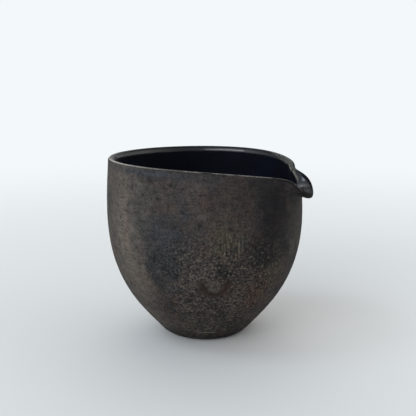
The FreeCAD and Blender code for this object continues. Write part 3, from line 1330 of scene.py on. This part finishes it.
@dataclass
class Pourer:
    """The whole pourer: its sizes, and the pieces made from them."""

    form: BowlForm
    handwork: HandWork
    fine_row: float = 0.22
    seen_row: float = 0.68
    hidden_row: float = 3.5
    bare_below_rim: float = 3.0
    lip_oval_half_width: float = 15.0
    lip_oval_half_height: float = 18.0
    lip_oval_height: float = 80.0
    lip_oval_from: float = 25.0
    lip_oval_reach: float = 65.0
    lip_oval_sides: int = 96
    sharp_over: float = 50.0

    def __post_init__(self) -> None:
        """Draws the four curves of the section."""
        self.wheel = Wheel(self.form, self.handwork)
        self.outside = SmoothCurve(self.form.outside_poles())
        self.inside = SmoothCurve(self.form.inside_poles())
        self.slip_face = SmoothCurve(self.beside(self.outside.poles, -self.form.slip_thickness))
        self.glaze_face = SmoothCurve(self.beside(self.inside.poles, self.form.glaze_thickness))
        self.seen = RowSpacing(self.form, self.fine_row, self.seen_row)
        self.hidden = RowSpacing(self.form, self.fine_row * 2.0, self.hidden_row)

    def beside(self, poles: list[Vector], distance: float) -> list[Vector]:
        """Poles moved to the left of their direction of travel.

        Args:
            poles: The poles of the first curve.
            distance: How far they move.

        Returns:
            The poles of the curve beside it.
        """
        moved = []
        for index, pole in enumerate(poles):
            before = poles[max(index - 1, 0)]
            after = poles[min(index + 1, len(poles) - 1)]
            along = (after - before).normalized()
            moved.append(pole + Vector((-along.y, along.x)) * distance)
        return moved

    def section(self, points: list[Vector], shows: bool) -> list[SectionPoint]:
        """Points of a curve as part of a section."""
        return [SectionPoint(point.x, point.y, shows) for point in points]

    def stand(
        self, piece: bpy.types.Object, node: str, material: bpy.types.Material
    ) -> bpy.types.Object:
        """Dresses a piece and sets it in its node's place.

        Args:
            piece: The finished piece.
            node: The node that it stands for.
            material: Its material.

        Returns:
            The piece.
        """
        piece.data.materials.clear()
        piece.data.materials.append(material)
        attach(piece, "root")
        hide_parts(node)
        LOG.info("%s stands for %s with %d faces", piece.name, node, len(piece.data.polygons))
        return piece

    def outer_slip(self) -> bpy.types.Object:
        """The matte coat outside, from just above the foot to just below the crown."""
        start = self.outside.place_at(self.form.slip_start)
        stop = self.outside.place_at(self.form.slip_top)
        face = self.section(self.slip_face.points(start, stop, self.seen), True)
        back = self.section(self.outside.points(start, stop, self.hidden), False)
        shape = self.wheel.turned(face + back[::-1])
        self.wheel.work(shape, SlipRelief())
        piece = piece_of(shape, "smoked_slip_coat")
        return self.stand(piece, "outer_slip", SlipFinish().material())

    def inner_glaze(self) -> bpy.types.Object:
        """The glossy coat inside, from the middle of the floor to just below the crown."""
        stop = self.inside.place_at(self.form.glaze_top)
        face = self.glaze_face.points(0.0, stop, self.seen)
        back = self.inside.points(0.0, stop, self.hidden)
        floor_face = self.floor_points(face[0], self.seen_row)
        floor_back = self.floor_points(back[0], self.hidden_row)
        section = self.section(floor_face + face, True)
        section += self.section((floor_back + back)[::-1], False)
        shape = self.wheel.turned(section)
        self.wheel.work(shape, GlazeRelief())
        piece = piece_of(shape, "black_glaze_lining")
        material = GlazeFinish(self.form).material()
        return self.stand(piece, "inner_glaze", material)

    def floor_points(self, edge: Vector, spacing: float) -> list[Vector]:
        """Points from the axis out to a flat disc's edge, without the edge itself."""
        count = max(2, round(edge.x / spacing))
        return [Vector((edge.x * index / count, edge.y)) for index in range(count)]

    def base(self, material: bpy.types.Material) -> bpy.types.Object:
        """The floor and the bottom of the wall, a shallow dish with the flat foot under it."""
        outside_joint = self.outside.place_at(self.form.joint_height)
        inside_joint = self.inside.place_at(self.form.joint_height)
        under = self.outside.points(0.0, outside_joint, lambda height: self.seen_row)
        floor = self.inside.points(0.0, inside_joint, lambda height: self.hidden_row)
        underside = self.floor_points(under[0], self.seen_row / 2.0)
        top = self.floor_points(floor[0], self.hidden_row)
        below_slip = [point.y < self.form.slip_start for point in under]
        side = [SectionPoint(p.x, p.y, shows) for p, shows in zip(under, below_slip)]
        section = self.section(underside, True) + side + self.section((top + floor)[::-1], False)
        shape = self.wheel.turned(section)
        self.wheel.work(shape, ClayRelief())
        return self.stand(piece_of(shape, "foot_dish"), "base", material)

    def clay_wall(self) -> bpy.types.Object:
        """The whole clay wall over the rim, with the lip in one."""
        spacing = RowSpacing(self.form, self.fine_row, self.hidden_row)
        up = self.outside.points(
            self.outside.place_at(self.form.joint_height), float(self.outside.spans), spacing
        )
        down = self.inside.points(
            self.inside.place_at(self.form.joint_height), float(self.inside.spans), spacing
        )
        round_points = up + down[-2::-1]
        bare_from = self.form.rim_height - self.bare_below_rim
        section = [SectionPoint(p.x, p.y, p.y > bare_from) for p in round_points]
        shape = self.wheel.turned(section)
        self.wheel.work(shape, ClayRelief())
        return piece_of(shape, "clay_wall")

    def lip_oval(self) -> bpy.types.Object:
        """The oval space, seen from the front, that holds the clay worked as the lip."""
        shape = bmesh.new()
        bmesh.ops.create_circle(shape, cap_ends=True, radius=1.0, segments=self.lip_oval_sides)
        bmesh.ops.rotate(
            shape,
            cent=(0.0, 0.0, 0.0),
            matrix=Vector((0.0, 0.0, 1.0)).rotation_difference(Vector((1.0, 0.0, 0.0))).to_matrix(),
            verts=shape.verts,
        )
        bmesh.ops.scale(
            shape, vec=(1.0, self.lip_oval_half_width, self.lip_oval_half_height), verts=shape.verts
        )
        place = (self.lip_oval_from, 0.0, self.lip_oval_height)
        bmesh.ops.translate(shape, vec=place, verts=shape.verts)
        pushed = bmesh.ops.extrude_face_region(shape, geom=shape.faces[:])
        far = [part for part in pushed["geom"] if isinstance(part, bmesh.types.BMVert)]
        reach = self.lip_oval_reach - self.lip_oval_from
        bmesh.ops.translate(shape, vec=(reach, 0.0, 0.0), verts=far)
        bmesh.ops.recalc_face_normals(shape, faces=shape.faces)
        bmesh.ops.scale(shape, vec=(MM, MM, MM), verts=shape.verts)
        return piece_of(shape, "lip_oval")

    def cut(
        self, wall: bpy.types.Object, oval: bpy.types.Object, operation: str, name: str
    ) -> bpy.types.Object:
        """The clay wall inside or outside the lip's oval.

        Args:
            wall: The whole wall.
            oval: The oval space.
            operation: DIFFERENCE or INTERSECT.
            name: The new piece's name.

        Returns:
            The new piece.
        """
        cutter = wall.modifiers.new("lip", "BOOLEAN")
        cutter.operation = operation
        cutter.object = oval
        cutter.solver = "EXACT"
        bpy.context.view_layer.update()
        graph = bpy.context.evaluated_depsgraph_get()
        mesh = bpy.data.meshes.new_from_object(wall.evaluated_get(graph))
        wall.modifiers.remove(cutter)
        mesh.name = name
        mesh.shade_smooth()
        mesh.set_sharp_from_angle(angle=math.radians(self.sharp_over))
        piece = bpy.data.objects.new(name, mesh)
        bpy.context.scene.collection.objects.link(piece)
        return piece

    def clay(self) -> None:
        """The three pieces of clay: the base, the wall and the lip."""
        material = ClayFinish(self.form).material()
        self.base(material)
        whole = self.clay_wall()
        oval = self.lip_oval()
        wall = self.cut(whole, oval, "DIFFERENCE", "wall_clay")
        lip = self.cut(whole, oval, "INTERSECT", "lip_clay")
        for helper in (whole, oval):
            bpy.data.objects.remove(helper)
        self.stand(wall, "body_wall", material)
        self.stand(lip, "pouring_lip", material)

    def build(self) -> None:
        """Makes every piece."""
        self.clay()
        self.outer_slip()
        self.inner_glaze()


@dataclass(frozen=True)
class Glow:
    """A soft bright side of the room, as the pourer sees it."""

    turn: float
    rise: float
    strength: float
    colour: Colour
    focus: float = 6.0


@dataclass(frozen=True)
class Studio:
    """The floor, the light and the camera. Turns are to the right of the camera, from the pourer."""

    floor_radius: float = 9.0
    floor_steps: int = 96
    floor_fades_by: float = 0.62
    floor_colour: Colour = linear(220, 221, 219)
    background: Colour = linear(243, 248, 250)
    ambient: Colour = (0.235, 0.25, 0.275)
    glows: tuple[Glow, ...] = (
        Glow(-44.0, 15.0, 1.85, (0.94, 1.0, 1.08)),
        Glow(90.0, 15.0, 1.0, (1.05, 1.0, 0.93)),
        Glow(180.0, 35.0, 1.9, (1.0, 1.0, 0.99)),
        Glow(-84.0, 53.0, 4.6, (0.82, 1.0, 1.18), 70.0),
    )
    window_turn: float = -28.0
    window_rise: float = 26.0
    window_distance: float = 1.6
    window_width: float = 1.5
    window_height: float = 0.2
    window_power: float = 5.6
    aim: tuple[float, float, float] = (0.0, 0.0, 0.045)
    camera_distance: float = 0.340
    camera_height: float = 0.13297
    camera_azimuth: float = 17.3
    camera_pitch: float = 11.91
    camera_turn: float = -0.26
    camera_lens: float = 61.25
    camera_sensor: float = 36.0

    def towards(self, turn: float, rise: float) -> Vector:
        """The direction from the pourer to a side of the room."""
        round_to = math.radians(self.camera_azimuth + turn)
        level = math.cos(math.radians(rise))
        up = math.sin(math.radians(rise))
        return Vector((math.sin(round_to) * level, -math.cos(round_to) * level, up))

    def floor(self) -> None:
        """A wide pale floor that fades into the background."""
        shape = bmesh.new()
        bmesh.ops.create_circle(
            shape, cap_ends=True, radius=self.floor_radius, segments=self.floor_steps
        )
        piece = piece_of(shape, "floor")
        material, board = new_material("pale_floor")
        place = board.node("ShaderNodeTexCoord").outputs["Object"]
        length = board.node("ShaderNodeVectorMath", {"operation": "LENGTH"}, {0: place})
        away = Value(board, length.outputs["Value"])
        seen = Value(board, board.node("ShaderNodeLightPath").outputs["Is Camera Ray"])
        floor_tone = board.colour(self.floor_colour)
        diffuse = board.node("ShaderNodeBsdfDiffuse", sockets={"Color": floor_tone})
        glow = board.node("ShaderNodeEmission", sockets={"Color": board.colour(self.background)})
        mixed = board.node(
            "ShaderNodeMixShader",
            sockets={
                0: away.step(0.0, self.floor_fades_by) * seen,
                1: diffuse.outputs[0],
                2: glow.outputs[0],
            },
        )
        board.node("ShaderNodeOutputMaterial", sockets={"Surface": mixed.outputs[0]})
        piece.data.materials.append(material)

    def world(self) -> None:
        """The room's bright sides, and the pale background that the camera sees."""
        world = bpy.data.worlds.new("studio")
        bpy.context.scene.world = world
        world.use_nodes = True
        board = Board(world.node_tree)
        direction = board.node("ShaderNodeTexCoord").outputs["Generated"]
        light = board.node("ShaderNodeRGB").outputs[0]
        light.default_value = board.colour(self.ambient)
        for glow in self.glows:
            towards = self.towards(glow.turn, glow.rise)
            along = board.node(
                "ShaderNodeVectorMath", {"operation": "DOT_PRODUCT"}, {0: direction, 1: towards}
            )
            fall = (Value(board, along.outputs["Value"]) - 1.0) * glow.focus
            strength = board.maths("EXPONENT", fall, 0.0) * glow.strength
            light = board.added(light, board.scaled(glow.colour, strength))
        seen = Value(board, board.node("ShaderNodeLightPath").outputs["Is Camera Ray"])
        tone = board.laid(seen, light, self.background)
        background = board.node("ShaderNodeBackground", sockets={"Color": tone})
        board.node("ShaderNodeOutputWorld", sockets={"Surface": background.outputs[0]})

    def window(self) -> None:
        """The soft lamp in front on the left."""
        data = bpy.data.lights.new("window", "AREA")
        data.shape = "RECTANGLE"
        data.size = self.window_width
        data.size_y = self.window_height
        data.energy = self.window_power
        lamp = bpy.data.objects.new("window", data)
        towards = self.towards(self.window_turn, self.window_rise)
        lamp.location = Vector(self.aim) + towards * self.window_distance
        lamp.rotation_euler = (-towards).to_track_quat("-Z", "Y").to_euler()
        bpy.context.scene.collection.objects.link(lamp)

    def camera(self) -> None:
        """The camera at the photograph's angle."""
        data = bpy.data.cameras.new("camera")
        data.sensor_width = self.camera_sensor
        data.lens = self.camera_lens
        camera = bpy.data.objects.new("camera", data)
        turn = math.radians(self.camera_azimuth)
        camera.location = (
            self.camera_distance * math.sin(turn),
            -self.camera_distance * math.cos(turn),
            self.camera_height,
        )
        camera.rotation_euler = (
            math.radians(90.0 - self.camera_pitch),
            0.0,
            math.radians(self.camera_azimuth + self.camera_turn),
        )
        bpy.context.scene.collection.objects.link(camera)
        bpy.context.scene.camera = camera

    def build(self) -> None:
        """Sets up everything round the pourer."""
        self.camera()
        self.world()
        self.window()
        self.floor()
        bpy.context.scene.view_settings.view_transform = "Standard"


def main() -> None:
    """Builds the studio and the pourer."""
    logging.basicConfig(level=logging.INFO, format="%(name)s: %(message)s")
    Studio().build()
    Pourer(BowlForm(), HandWork()).build()


if __name__ == "__main__":
    main()
